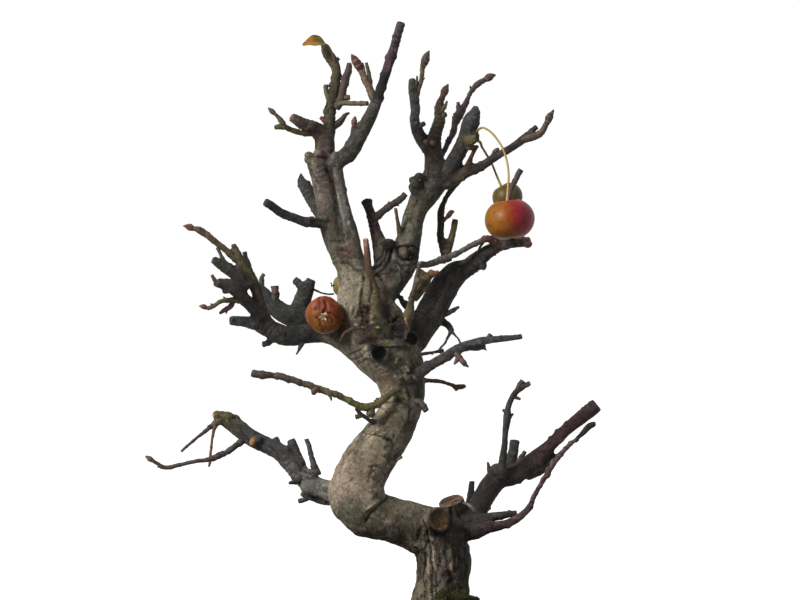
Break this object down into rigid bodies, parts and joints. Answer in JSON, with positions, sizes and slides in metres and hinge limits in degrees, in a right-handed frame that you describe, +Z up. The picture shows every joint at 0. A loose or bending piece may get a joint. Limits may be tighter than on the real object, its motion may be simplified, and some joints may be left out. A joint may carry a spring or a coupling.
{
  "type": "crabapple bonsai",
  "caption": "Bare winter crabapple bonsai with a bent trunk, cut boughs, budded twigs and a few hanging fruits, in an oval brown stoneware tray.",
  "frame": {"origin": "on the surface that the tray stands on, under the centre of the tray", "axes": "+Z up, +X to the right as the tree is viewed from its front, +Y away from the viewer"},
  "size_m": [0.2286, 0.15, 0.3455],
  "materials": {
    "stoneware": "unglazed matt",
    "soil": "matt grains",
    "moss": "matt",
    "net": "matt",
    "bark": "rough bark",
    "red_skin": "smooth fruit skin",
    "olive_skin": "smooth fruit skin",
    "withered_skin": "wrinkled fruit skin",
    "yellow_skin": "smooth fruit skin",
    "calyx": "dry",
    "stalk": "smooth",
    "leaf": "dry leaf"
  },
  "bodies": {
    "root": {"pot": "stoneware", "soil": "soil", "moss_cushion": "moss", "drainage_net_left": "net", "drainage_net_right": "net", "tree": "bark", "red_fruit": "red_skin", "red_fruit_calyx": "calyx", "red_fruit_stalk": "stalk", "green_fruit": "olive_skin", "green_fruit_calyx": "calyx", "green_fruit_stalk": "stalk", "brown_fruit": "withered_skin", "brown_fruit_calyx": "calyx", "brown_fruit_stalk": "stalk", "yellow_fruit": "yellow_skin", "yellow_fruit_calyx": "calyx", "yellow_fruit_stalk": "stalk", "leaf": "leaf"}
  },
  "joints": []
}
